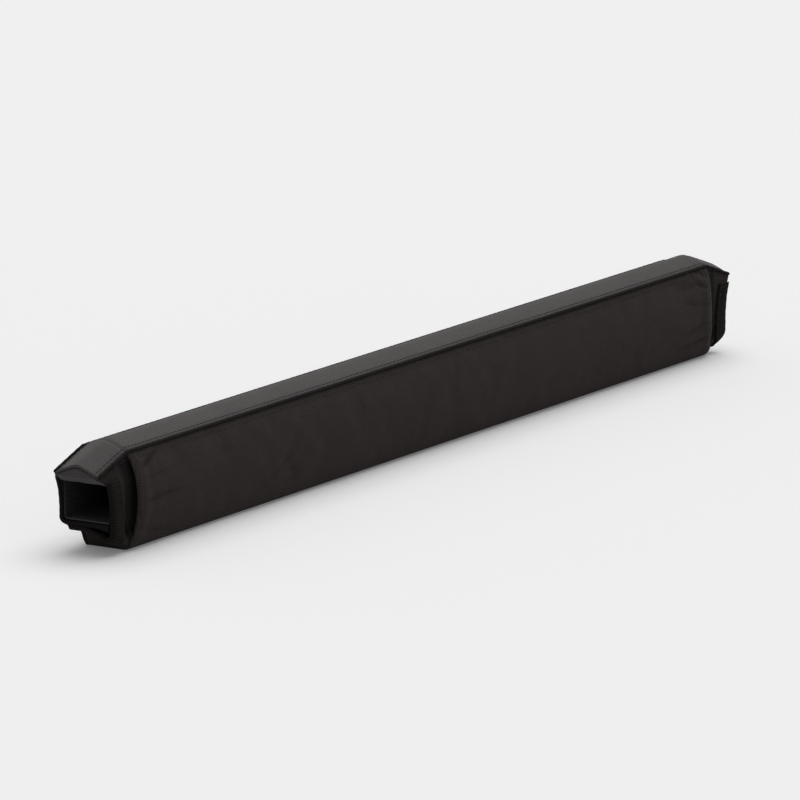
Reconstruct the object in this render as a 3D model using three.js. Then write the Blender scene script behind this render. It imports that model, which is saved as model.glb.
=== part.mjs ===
// A roof rack pad: a foam block in a sewn cover that wraps a square cross bar and closes under it.
// Millimetres, +Z up, +Y along the bar. The origin is on the ground under the middle of the pad.
import * as THREE from "three";

// The bar that the pad wraps
const barWidth = 32;
const barHeight = 22;
const barClearance = 0.5;

// Length of the pad, and of the sloped nose at each end
const padLength = 760;
const noseLength = 31;
const noseDrop = 10.7;

// Roof-shaped top: the crest and the two long seams, above the bar
const crestRise = 24.8;
const seamRise = 19;
const seamOverhang = 0.3;
const ridgeRound = 3;

// Layers of the wrap
const fabric = 0.9;
const liner = 1;
const sidePadding = 4.6;
const flapPadding = 6.8;
const closureTape = 1.3;
const seat = 0.3;
const linerBend = 1.5;
const leastPadding = 1.2;

// Outline of the wrap
const bulgeHeight = 30;
const cornerRadius = 6;
const weltRadius = 1.2;
const frontFlapShort = 3;
const flapSeam = 0.45;
const closureWidth = 20;
const closureMargin = 9;

// Ends of the wrap, where the cover falls in past the padding and hugs the bar
const foldStart = 1;
const foldBow = 5.5;
const foldRun = 5;
const foldBreadth = 0.7;
const paddingShort = 9;
const mouthTop = 24;
const mouthSide = 20;
const mouthShoulder = 1.7;
const mouthCurve = 3;
const facingTuck = 1.5;
const lipThickness = 2.2;
const frontRise = 10;
const rearRise = 6.8;
const riseStart = 6;
const liftRun = 9;
const bindingWidth = 12;
const binding = 0.9;
const flapBindingReach = 5;

// Levels, counted up from the ground through the layers under the bar
const straightHalf = padLength / 2 - noseLength;
const frontBase = 0;
const frontFoam = frontBase + fabric + seat;
const hookLevel = frontFoam + flapPadding + seat;
const loopLevel = hookLevel + closureTape + seat;
const rearBase = loopLevel + closureTape + seat;
const rearFoam = rearBase + fabric + seat;
const linerLevel = rearFoam + flapPadding + seat;
const channelFloor = linerLevel + liner;
const channelTop = channelFloor + barHeight + 2 * barClearance;
const barTop = channelTop - barClearance;
const seamLevel = barTop + seamRise;
const panelTop = seamLevel - weltRadius - seat;
const crestLevel = barTop + crestRise;
const coreFloor = channelTop + liner + seat;
const shoulderLevel = barTop + mouthShoulder + barClearance;

// Half widths, counted out from the middle of the bar
const seamSpread = barWidth / 2 + seamOverhang;
const channelHalf = barWidth / 2 + barClearance;
const linerHalf = channelHalf + liner;
const paddingHalf = linerHalf + seat;
const padHalf = paddingHalf + sidePadding + seat + fabric;
const hugHalf = linerHalf + seat + fabric;
const coverDepth = fabric + seat;
const weltRoom = weltRadius + seat;

// Free edges of the two flaps, on the far side of the bar from their own panel
const frontFlapEdge = frontFlapShort - barWidth / 2;
const rearFlapEdge = -barWidth / 2;

// The side of the cover is one arc through the seam and the widest point
const arcDrop = seamLevel - bulgeHeight;
const arcRadius = (arcDrop ** 2 / (padHalf - seamSpread) + (padHalf - seamSpread)) / 2;
const arcCentre = padHalf - arcRadius;
const roofSlope = (crestRise - seamRise) / (Math.hypot(seamSpread, ridgeRound) - ridgeRound);
const noseSlope = noseDrop / noseLength;
const lipLevel = seamLevel - noseDrop - lipThickness;
const undersideSlope = (lipLevel - shoulderLevel) / (noseLength - mouthTop);

// Where each stretch of a cover panel starts: shoulder, corner and flap, from 0 at the welt to 1
const shoulderAt = 0.21;
const cornerAt = 0.68;
const flapAt = 0.8;

const frontCover = { side: 1, base: frontBase, edge: frontFlapEdge, rise: frontRise, endRadius: 5 };
const rearCover = { side: -1, base: rearBase, edge: rearFlapEdge, rise: rearRise, endRadius: 3 };
const quarter = Math.PI / 2;

const clamp = (value) => Math.min(1, Math.max(0, value));
const ease = (value) => clamp(value) ** 2 * (3 - 2 * clamp(value));
const mix = THREE.MathUtils.lerp;

// Evenly spaced values from first to last, with both of them.
function spread(first, last, steps) {
  return Array.from({ length: steps + 1 }, (_, i) => mix(first, last, i / steps));
}

// Stations are counted from where the nose starts, positive towards the tip.
const foldStations = [-paddingShort - 3, ...spread(-foldStart - foldBow, foldRun - foldStart, 9)];
const noseStations = spread(foldRun + 2, noseLength, 6);
const endStations = [...foldStations, ...noseStations];

// A point of either end: end is -1 at the near end and 1 at the far end.
const place = (x, end, station, z) => new THREE.Vector3(x, end * (straightHalf + station), z);

// The slope of the nose, rounded where it leaves the straight top.
const sink = (station) => (noseSlope * (station + Math.hypot(station, ridgeRound / 2))) / 2;

// Height of the roof-shaped top.
function roof(x, station) {
  return crestLevel - sink(station) - roofSlope * (Math.hypot(x, ridgeRound) - ridgeRound);
}

// A cover panel over the padding: down the bulged side, round the corner and along the flap.
function fullPoint(cover, u) {
  const cornerHeight = cover.base + cornerRadius;
  const innerRadius = arcRadius - cornerRadius;
  const cornerAngle = Math.asin((cornerHeight - bulgeHeight) / innerRadius);
  const cornerX = arcCentre + innerRadius * Math.cos(cornerAngle);
  if (u < cornerAt) {
    const topAngle = Math.asin((panelTop - bulgeHeight) / arcRadius);
    const angle = mix(topAngle, cornerAngle, u / cornerAt);
    return [arcCentre + arcRadius * Math.cos(angle), bulgeHeight + arcRadius * Math.sin(angle)];
  }
  if (u < flapAt) {
    const angle = mix(cornerAngle, -quarter, (u - cornerAt) / (flapAt - cornerAt));
    return [cornerX + cornerRadius * Math.cos(angle), cornerHeight + cornerRadius * Math.sin(angle)];
  }
  return [mix(cornerX, cover.edge, (u - flapAt) / (1 - flapAt)), cover.base];
}

// Level of a flap past the padding, which rises to the mouth.
function flapLevel(cover, station) {
  return cover.base + cover.rise * clamp((station + riseStart) / (mouthSide + riseStart));
}

// How far the free edge of the front flap lifts from its corner, to lie just under the rear flap.
function flapLift(cover, station) {
  if (cover === rearCover) return 0;
  const bindingRoom = fabric + binding + 3 * seat;
  const room = flapLevel(rearCover, station) - flapLevel(cover, station) - bindingRoom;
  return room * clamp((station + foldStart) / liftRun);
}

// The same panel where it hugs the bar: shoulder, side, small corner and raised flap.
function hugPoint(cover, u, station) {
  const base = flapLevel(cover, station);
  const cornerX = hugHalf - cover.endRadius;
  const cornerHeight = base + cover.endRadius;
  if (u < shoulderAt) {
    const down = u / shoulderAt;
    return [mix(seamSpread, hugHalf, down), mix(panelTop - sink(station), shoulderLevel, down)];
  }
  if (u < cornerAt) {
    return [hugHalf, mix(shoulderLevel, cornerHeight, (u - shoulderAt) / (cornerAt - shoulderAt))];
  }
  if (u < flapAt) {
    const angle = -quarter * ((u - cornerAt) / (flapAt - cornerAt));
    const { endRadius } = cover;
    return [cornerX + endRadius * Math.cos(angle), cornerHeight + endRadius * Math.sin(angle)];
  }
  const across = (u - flapAt) / (1 - flapAt);
  return [mix(cornerX, cover.edge, across), base + flapLift(cover, station) * (1 - (1 - across) ** 3)];
}

// How far the cover has fallen in towards the bar: the fold bows inwards at mid height.
function fallIn(u, station) {
  const bow = Math.sin(Math.PI * clamp(u / cornerAt)) ** foldBreadth;
  return ease((station + foldStart + foldBow * bow) / foldRun);
}

function coverPoint(cover, u, station) {
  const full = fullPoint(cover, u);
  const hug = hugPoint(cover, u, station);
  const fallen = fallIn(u, station);
  const seamSink = u < cornerAt ? sink(station) * (1 - u / cornerAt) * (1 - fallen) : 0;
  return [mix(full[0], hug[0], fallen), mix(full[1], hug[1], fallen) - seamSink];
}

// A point of a cover panel, sunk by depth below its outer face.
function coverSurface(cover, u, end, station, depth) {
  const reach = 0.004;
  const [x, z] = coverPoint(cover, u, station);
  const before = coverPoint(cover, Math.max(0, u - reach), station);
  const after = coverPoint(cover, Math.min(1, u + reach), station);
  const along = new THREE.Vector2(after[0] - before[0], after[1] - before[1]).normalize();
  return place(cover.side * (x + along.y * depth), end, station, z - along.x * depth);
}

// Station of the open edge of the cover: along the nose, then up the slanted mouth.
function mouthEdge(u) {
  if (u < shoulderAt) return mix(noseLength, mouthTop, u / shoulderAt);
  return mix(mouthSide, mouthTop, (1 - clamp((u - shoulderAt) / (cornerAt - shoulderAt))) ** mouthCurve);
}

// One closed mesh from corner points and faces of three or four corners.
function meshGeometry(points, faces) {
  const index = faces.flatMap(([a, b, c, d]) => (d === undefined ? [a, b, c] : [a, b, c, a, c, d]));
  const geometry = new THREE.BufferGeometry().setFromPoints(points).setIndex(index);
  geometry.computeVertexNormals();
  return geometry;
}

// A sheet of material between two grids of points, closed round its edge.
// The faces of the top grid point to the left of its rows as they run down the columns.
function sheet(top, under) {
  const rows = top.length;
  const columns = top[0].length;
  const count = rows * columns;
  const at = (r, c, layer) => layer * count + r * columns + c;
  const faces = [];
  const pair = (a, b, c, d) => faces.push([a, b, c, d]);
  for (let r = 0; r + 1 < rows; r += 1) {
    for (let c = 0; c + 1 < columns; c += 1) {
      pair(at(r, c, 0), at(r + 1, c, 0), at(r + 1, c + 1, 0), at(r, c + 1, 0));
      pair(at(r, c, 1), at(r, c + 1, 1), at(r + 1, c + 1, 1), at(r + 1, c, 1));
    }
    pair(at(r, 0, 0), at(r, 0, 1), at(r + 1, 0, 1), at(r + 1, 0, 0));
    pair(at(r, columns - 1, 0), at(r + 1, columns - 1, 0), at(r + 1, columns - 1, 1), at(r, columns - 1, 1));
  }
  for (let c = 0; c + 1 < columns; c += 1) {
    pair(at(0, c, 0), at(0, c + 1, 0), at(0, c + 1, 1), at(0, c, 1));
    pair(at(rows - 1, c, 0), at(rows - 1, c, 1), at(rows - 1, c + 1, 1), at(rows - 1, c + 1, 0));
  }
  return meshGeometry([...top.flat(), ...under.flat()], faces);
}

// A solid through closed rings of points, flat at both ends.
function loft(rings) {
  const size = rings[0].length;
  const faces = [];
  rings.slice(1).forEach((_, r) => {
    for (let i = 0; i < size; i += 1) {
      const next = (i + 1) % size;
      faces.push([r * size + i, r * size + next, (r + 1) * size + next, (r + 1) * size + i]);
    }
  });
  const last = (rings.length - 1) * size;
  for (let i = 1; i + 1 < size; i += 1) {
    faces.push([0, i + 1, i]);
    faces.push([last, last + i, last + i + 1]);
  }
  return meshGeometry(rings.flat(), faces);
}

// A flat outline drawn in x and z, drawn out along the bar.
function drawnOut(shape, length) {
  const geometry = new THREE.ExtrudeGeometry(shape, { depth: length, bevelEnabled: false, curveSegments: 6 });
  return geometry.rotateX(quarter).translate(0, length / 2, 0);
}

// All stations from the near tip to the far tip, as [end, station].
function bothEnds(stations) {
  const near = stations.map((station) => [-1, station]).reverse();
  return [...near, ...stations.map((station) => [1, station])];
}

// Steps down a side panel from a first one, closest round the corner.
function panelSteps(first) {
  return [...spread(first, cornerAt, 12), ...spread(cornerAt, flapAt, 4).slice(1)];
}

// Steps across a flap, from its seam at the corner to its free edge.
function flapSteps(cover) {
  const seamGap = (flapSeam / (hugHalf - cover.edge)) * (1 - flapAt);
  return spread(flapAt + seamGap, 1, 5);
}

// A woven piece of the cover, from the near mouth to the far one, over the given steps.
function coverPiece(cover, steps) {
  const last = foldStations[foldStations.length - 1];
  const noseParts = spread(0, 1, 4).slice(1);
  const stationsOf = (u) => [...foldStations, ...noseParts.map((part) => mix(last, mouthEdge(u), part))];
  const grid = (depth) => {
    const near = (u) => stationsOf(u).map((s) => coverSurface(cover, u, -1, s, depth)).reverse();
    const far = (u) => stationsOf(u).map((s) => coverSurface(cover, u, 1, s, depth));
    return steps.map((u) => [...near(u), ...far(u)]);
  };
  return cover.side > 0 ? sheet(grid(0), grid(fabric)) : sheet(grid(fabric), grid(0));
}

// The edge binding of one panel at one end, folded flat on the outside of the mouth.
function mouthBinding(cover, end) {
  const steps = [...panelSteps(shoulderAt), ...spread(flapAt, 1, 5).slice(1)];
  const grid = (depth) =>
    steps.map((u) => {
      const edge = mouthEdge(u);
      return spread(edge, edge - bindingWidth, 3).map((s) => coverSurface(cover, u, end, s, -depth));
    });
  const outward = cover.side * end < 0;
  return outward ? sheet(grid(seat + binding), grid(seat)) : sheet(grid(seat), grid(seat + binding));
}

// The top panel runs over the roof-shaped top and down both noses.
function topPanel() {
  const half = seamSpread - weltRoom;
  const across = spread(-half, half, 8);
  const grid = (depth) =>
    across.map((x) => {
      const slope = (roofSlope * x) / Math.hypot(x, ridgeRound);
      const lean = Math.atan(slope);
      const sunk = (s) => roof(x, s) - depth * Math.cos(lean);
      return bothEnds(endStations).map(([end, s]) => place(x - depth * Math.sin(lean), end, s, sunk(s)));
    });
  return sheet(grid(0), grid(fabric));
}

// The welt in each long seam.
function seamWelt(side) {
  const around = spread(0, 2 * Math.PI, 8).slice(0, -1);
  const ring = ([end, s]) =>
    around.map((angle) =>
      place(
        side * seamSpread + weltRadius * Math.sin(angle),
        end,
        s,
        seamLevel - sink(s) + weltRadius * Math.cos(angle),
      ),
    );
  return loft(bothEnds(endStations).map(ring));
}

// Height of the sloped underside of a nose.
const underside = (station) => shoulderLevel + undersideSlope * (station - mouthTop);

// The foam block that sits on the bar, with its nose cut to a slope above and below.
function foamCore() {
  const corner = seamSpread - weltRoom;
  const foot = hugHalf - coverDepth - 2 * seat;
  const roofDepth = coverDepth / Math.cos(Math.atan(roofSlope)) + seat / 2;
  const undersideDepth = coverDepth / Math.cos(Math.atan(undersideSlope)) + seat / 2;
  const tip = noseLength - coverDepth;
  const ring = ([end, station]) => {
    const s = Math.min(station, tip);
    const floor = Math.max(coreFloor, underside(s) + undersideDepth);
    const top = spread(-corner, corner, 8).map((x) => place(x, end, s, roof(x, s) - roofDepth));
    return [...top, place(foot - narrow(s), end, s, floor), place(narrow(s) - foot, end, s, floor)];
  };
  const narrow = (s) => (foot - corner) * clamp((s - mouthTop) / (tip - mouthTop));
  const stations = [...endStations.slice(0, -1), mouthTop - facingTuck, tip].sort((a, b) => a - b);
  return loft(bothEnds(stations).map(ring));
}

// The cover under and across the tip of one nose.
function noseFacing(end) {
  const corner = seamSpread - weltRoom;
  const wide = hugHalf - fabric - 2 * seat;
  const back = mouthTop - facingTuck;
  const roofDepth = coverDepth / Math.cos(Math.atan(roofSlope)) + seat / 2;
  const lean = Math.atan(undersideSlope);
  const column = (part) => (depth) => {
    const tipX = corner * part;
    const lift = depth / Math.cos(lean);
    const tip = noseLength - depth;
    return [
      place(tipX, end, tip, roof(tipX, noseLength) - roofDepth),
      place(tipX, end, tip, underside(tip) + lift),
      place(wide * part, end, back, underside(back) + lift),
    ];
  };
  const columns = spread(-1, 1, 8).map(column);
  const grid = (depth) => columns.map((points) => points(depth));
  return end < 0 ? sheet(grid(fabric), grid(0)) : sheet(grid(0), grid(fabric));
}

// The padding of one side, skived thin at its top, with its flap under the bar.
function sidePad(cover) {
  const foot = cover.base + coverDepth;
  const radius = cornerRadius - coverDepth;
  const outer = arcRadius - coverDepth;
  const inner = outer - radius;
  const cornerAngle = Math.asin((foot + radius - bulgeHeight) / inner);
  const cornerX = arcCentre + inner * Math.cos(cornerAngle);
  const topAngle = Math.acos((paddingHalf + 1 - arcCentre) / outer);
  const topLevel = bulgeHeight + outer * Math.sin(topAngle);
  const edge = cover.edge + 1;
  const flapTop = foot + flapPadding;
  const outside = arcCentre + Math.sqrt(outer ** 2 - (flapTop - bulgeHeight) ** 2);
  const shape = new THREE.Shape();
  shape.moveTo(edge, foot);
  shape.lineTo(cornerX, foot);
  shape.absarc(cornerX, foot + radius, radius, -quarter, cornerAngle, false);
  shape.absarc(arcCentre, bulgeHeight, outer, cornerAngle, topAngle, false);
  shape.lineTo(paddingHalf, topLevel);
  shape.lineTo(paddingHalf, linerLevel);
  shape.lineTo(Math.min(paddingHalf, outside - leastPadding), flapTop);
  shape.lineTo(edge, flapTop);
  shape.closePath();
  const geometry = drawnOut(shape, 2 * (straightHalf - paddingShort));
  return cover.side > 0 ? geometry : geometry.rotateZ(Math.PI);
}

// A strip of even thickness bent along a flat path in x and z.
function bentStrip(path, thickness) {
  const points = path.getPoints(5);
  const kept = points.filter((p, i) => i === 0 || p.distanceTo(points[i - 1]) > 0.01);
  const offset = (sign) =>
    kept.map((p, i) => {
      const before = kept[Math.max(0, i - 1)];
      const after = kept[Math.min(kept.length - 1, i + 1)];
      const along = after.clone().sub(before).normalize();
      return new THREE.Vector2(p.x - (sign * along.y * thickness) / 2, p.y + (sign * along.x * thickness) / 2);
    });
  return new THREE.Shape([...offset(1), ...offset(-1).reverse()]);
}

// The non-slip lining of the channel, open at the lower front corner.
function channelLiner() {
  const x = channelHalf + liner / 2;
  const low = channelFloor - liner / 2;
  const high = channelTop + liner / 2;
  const [right, left] = [x - linerBend, linerBend - x];
  const path = new THREE.Path();
  path.moveTo(x, low + linerBend);
  path.lineTo(x, high - linerBend);
  path.absarc(right, high - linerBend, linerBend, 0, quarter, false);
  path.lineTo(left, high);
  path.absarc(left, high - linerBend, linerBend, quarter, 2 * quarter, false);
  path.lineTo(-x, low + linerBend);
  path.absarc(left, low + linerBend, linerBend, 2 * quarter, 3 * quarter, false);
  path.lineTo(right, low);
  return drawnOut(bentStrip(path, liner), 2 * (straightHalf + mouthSide - 1));
}

// The tape folded over the free edge of the front flap.
function flapBinding() {
  const low = frontBase + binding / 2;
  const high = frontFoam + flapPadding + seat + binding / 2;
  const radius = (high - low) / 2;
  const inside = frontFlapEdge - seat;
  const turn = Math.min(frontFlapEdge - flapBindingReach + radius, inside - seat);
  const path = new THREE.Path();
  path.moveTo(inside, low);
  path.lineTo(turn, low);
  path.absarc(turn, low + radius, radius, -quarter, -3 * quarter, true);
  path.lineTo(inside, high);
  return drawnOut(bentStrip(path, binding), 2 * (straightHalf - paddingShort));
}

// One strip of the hook-and-loop closure.
function closureStrip(level) {
  const strip = new THREE.BoxGeometry(closureWidth, 2 * (straightHalf - paddingShort - closureMargin), closureTape);
  return strip.translate(0, 0, level + closureTape / 2);
}

const topCloth = new THREE.MeshStandardMaterial({ color: 0x565152, roughness: 0.9, metalness: 0 });
const sideCloth = new THREE.MeshStandardMaterial({ color: 0x2b2726, roughness: 0.92, metalness: 0 });
const tapeCloth = new THREE.MeshStandardMaterial({ color: 0x242120, roughness: 0.85, metalness: 0 });
const foam = new THREE.MeshStandardMaterial({ color: 0x3a3a3c, roughness: 0.95, metalness: 0 });
const grip = new THREE.MeshStandardMaterial({ color: 0x1b1b1c, roughness: 0.8, metalness: 0 });

const pad = new THREE.Group();

function add(name, geometry, material) {
  const mesh = new THREE.Mesh(geometry, material);
  mesh.name = name;
  pad.add(mesh);
}

add("foam_core", foamCore(), foam);
add("front_side_pad", sidePad(frontCover), foam);
add("rear_side_pad", sidePad(rearCover), foam);
add("channel_liner", channelLiner(), grip);
add("top_panel", topPanel(), topCloth);
for (const [name, cover] of [["front", frontCover], ["rear", rearCover]]) {
  add(`${name}_panel`, coverPiece(cover, panelSteps(0)), sideCloth);
  add(`${name}_flap_cover`, coverPiece(cover, flapSteps(cover)), sideCloth);
}
add("front_welt", seamWelt(1), tapeCloth);
add("rear_welt", seamWelt(-1), tapeCloth);
for (const [name, end] of [["near", -1], ["far", 1]]) {
  add(`${name}_nose_facing`, noseFacing(end), sideCloth);
  add(`${name}_front_binding`, mouthBinding(frontCover, end), tapeCloth);
  add(`${name}_rear_binding`, mouthBinding(rearCover, end), tapeCloth);
}
add("flap_edge_binding", flapBinding(), tapeCloth);
add("hook_tape", closureStrip(hookLevel), tapeCloth);
add("loop_tape", closureStrip(loopLevel), tapeCloth);

export default pad;
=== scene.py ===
# %% [markdown]
# A roof rack pad: a long foam block in a sewn cover, which close round a square channel.
# The CAD frame gives every node its place, and this file sews the soft pieces over it.
# Lengths are worked out in millimetres, as on a cutting table, and turned to metres
# only when a mesh is made. The channel runs along Y, and the front of the pad faces +X.

# %% Load the frame
import math
import bpy
import numpy as np
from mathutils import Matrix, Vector


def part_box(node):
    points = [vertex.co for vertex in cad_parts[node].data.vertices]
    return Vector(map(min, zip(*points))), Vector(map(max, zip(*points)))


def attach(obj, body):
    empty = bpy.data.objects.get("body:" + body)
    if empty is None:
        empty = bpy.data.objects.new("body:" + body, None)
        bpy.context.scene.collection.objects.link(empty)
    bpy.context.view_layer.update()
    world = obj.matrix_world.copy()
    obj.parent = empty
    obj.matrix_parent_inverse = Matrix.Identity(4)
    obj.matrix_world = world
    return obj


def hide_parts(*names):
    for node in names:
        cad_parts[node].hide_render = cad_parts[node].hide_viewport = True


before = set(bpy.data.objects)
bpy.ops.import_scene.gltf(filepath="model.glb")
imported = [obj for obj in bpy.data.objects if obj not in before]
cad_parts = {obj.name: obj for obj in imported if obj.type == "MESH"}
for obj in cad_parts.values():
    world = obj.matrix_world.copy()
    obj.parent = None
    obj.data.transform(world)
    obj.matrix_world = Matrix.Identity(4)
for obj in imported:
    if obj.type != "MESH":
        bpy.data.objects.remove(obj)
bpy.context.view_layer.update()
print("CAD nodes:", len(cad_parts))

# %% [markdown]
# The sizes of the section are the ones that the solids have. They are written once here.
# The last lines of the cell measure two nodes to show that both agree. The two sides differ in
# the level and the reach of their flaps, so each has its own small list of sizes.

# %% Sizes of the wrap, in mm
MM = 0.001
STRAIGHT_HALF = 349.0
NOSE_LENGTH = 31.0
NOSE_DROP, LIP_DEPTH = 10.7, 2.2
NOSE_SLOPE = NOSE_DROP / NOSE_LENGTH
SEAM_SPREAD = 16.3
SEAM_LEVEL = 62.3
CREST_LEVEL = 68.1
RIDGE_ROUND = 3.0
WELT_ROOM = 1.5
PANEL_TOP = SEAM_LEVEL - WELT_ROOM
ROOF_SLOPE = (CREST_LEVEL - SEAM_LEVEL) / (math.hypot(SEAM_SPREAD, RIDGE_ROUND) - RIDGE_ROUND)
FABRIC = 0.9
SEAT = 0.3
CHANNEL_FLOOR, CHANNEL_TOP, CHANNEL_HALF, LINER = 20.8, 43.8, 16.5, 1.0
LINER_HALF = CHANNEL_HALF + LINER
HUG_HALF = LINER_HALF + SEAT + FABRIC
PAD_HALF = 23.6
BULGE_LEVEL = 30.0
SHOULDER_LEVEL = 45.5
CORNER = 6.0
SHOULDER_AT, CORNER_AT, FLAP_AT = 0.21, 0.68, 0.8
MOUTH_TOP, MOUTH_SIDE = 24.0, 20.0
BINDING = 0.9
FOLD_START, FOLD_BOW, FOLD_RUN = 1.0, 5.5, 5.0
PADDING_SHORT = 9.0
RISE_START, LIFT_RUN = 6.0, 9.0
LIP_LEVEL = SEAM_LEVEL - NOSE_DROP - LIP_DEPTH

ARC_DROP, ARC_OUT = SEAM_LEVEL - BULGE_LEVEL, PAD_HALF - SEAM_SPREAD
ARC = (ARC_DROP**2 / ARC_OUT + ARC_OUT) / 2
ARC_X = PAD_HALF - ARC
UNDERSIDE_SLOPE = (LIP_LEVEL - SHOULDER_LEVEL) / (NOSE_LENGTH - MOUTH_TOP)

FRONT = {
    "title": "front",
    "side": 1,
    "base": 0.0,
    "edge": -13.0,
    "rise": 10.0,
    "end_radius": 5.0,
    "seed": 11,
}
REAR = {
    "title": "rear",
    "side": -1,
    "base": 11.5,
    "edge": -16.0,
    "rise": 6.8,
    "end_radius": 3.0,
    "seed": 23,
}


def node_box(name):
    low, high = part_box(name)
    return np.array(low) / MM, np.array(high) / MM


panel_high, roof_high = node_box("front_panel")[1], node_box("top_panel")[1]
print("widest point", round(panel_high[0], 2), "written as", PAD_HALF)
print("crest", round(roof_high[2], 2), "written as", CREST_LEVEL)
print("tip", round(roof_high[1], 2), "written as", STRAIGHT_HALF + NOSE_LENGTH)

# %% [markdown]
# The camera first. The photograph looks at the near end from 34.5 degrees to its front side
# and 12.5 degrees above it, through a long lens. A lens of about 390 mm from 5.3 m away
# gives the same nearly parallel lines, with the whole pad in the picture.

# %% Camera
AZIMUTH, ELEVATION = math.radians(34.5), math.radians(12.5)
DISTANCE, LENS = 5.3, 392
towards = Vector(
    (
        math.sin(AZIMUTH) * math.cos(ELEVATION),
        -math.cos(AZIMUTH) * math.cos(ELEVATION),
        math.sin(ELEVATION),
    )
)
near_end = Vector((0, -0.38, 0.045))
aim = Vector((0, -0.012, 0.032))
camera_data = bpy.data.cameras.new("camera")
camera_data.lens = LENS
camera_data.clip_end = 50
camera = bpy.data.objects.new("camera", camera_data)
bpy.context.scene.collection.objects.link(camera)
camera.location = near_end + DISTANCE * towards
camera.rotation_mode = "QUATERNION"
camera.rotation_quaternion = (aim - camera.location).to_track_quat("-Z", "Y")
bpy.context.scene.camera = camera
print("camera at", [round(v, 3) for v in camera.location])

# %% [markdown]
# Every material is built from nodes. One helper adds a node, sets its properties and feeds
# its inputs, and one function turns the sRGB colours that are written here to linear light.

# %% Helpers for materials
def linear(text):
    """An sRGB colour such as "2b2726" in linear light."""
    parts = [int(text[i : i + 2], 16) / 255 for i in (0, 2, 4)]
    return (*[v / 12.92 if v <= 0.04045 else ((v + 0.055) / 1.055) ** 2.4 for v in parts], 1.0)


def feed(tree, node, inputs):
    """Fills the inputs of a node with values, or with the sockets that lead there."""
    for name, value in inputs.items():
        if isinstance(value, bpy.types.NodeSocket):
            tree.links.new(value, node.inputs[name])
        else:
            node.inputs[name].default_value = value


def add_node(tree, kind, inputs=None, **settings):
    """One node: settings are its properties, and inputs are what feeds it."""
    made = tree.nodes.new(kind)
    for name, value in settings.items():
        setattr(made, name, value)
    feed(tree, made, inputs or {})
    return made


def new_material(name):
    """A material with an empty tree and its shader, joined to the output."""
    material = bpy.data.materials.new(name)
    material.use_nodes = True
    tree = material.node_tree
    tree.nodes.clear()
    output = add_node(tree, "ShaderNodeOutputMaterial")
    shader = add_node(tree, "ShaderNodeBsdfPrincipled", {"IOR": 1.5})
    tree.links.new(shader.outputs["BSDF"], output.inputs["Surface"])
    return material, tree, shader


def dress(tree, shader, colour, rough, height, depth, strength, more):
    """Gives a shader its colour, its roughness and a bump that is so many mm deep."""
    bump = add_node(
        tree,
        "ShaderNodeBump",
        {"Height": height, "Distance": depth * MM, "Strength": strength},
    )
    surface = {"Base Color": colour, "Roughness": rough, "Normal": bump.outputs["Normal"]}
    feed(tree, shader, {**surface, **more})


def colour_steps(node, steps):
    """Sets the stops of a colour ramp from pairs of position and colour."""
    ramp = node.color_ramp
    while len(ramp.elements) < len(steps):
        ramp.elements.new(0.5)
    for element, (position, colour) in zip(ramp.elements, steps):
        element.position = position
        element.color = colour


# %% [markdown]
# The cover is woven polyester with a coated back, the heavy plain weave of bags and covers.
# A plain weave is a chessboard: where one thread lies on top, the other dives under it.
# Two sines give the round threads and their product says which one is up. The threads of the
# real cloth are 0.6 to 0.7 mm apart, which is finer than one pixel here, so they are drawn
# 1.7 mm apart to show at all. The eye sees a dull, dry black with a faint sheen at a slant and
# threads that differ a little. A painted shade darkens the colour in folds, creases and seams.

# %% Woven polyester
THREAD_PITCH = 1.7
# The near-black that the painted shade mixes into the cloth.
PAINTED_SHADE_BLACK = "0d0b0a"


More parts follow.
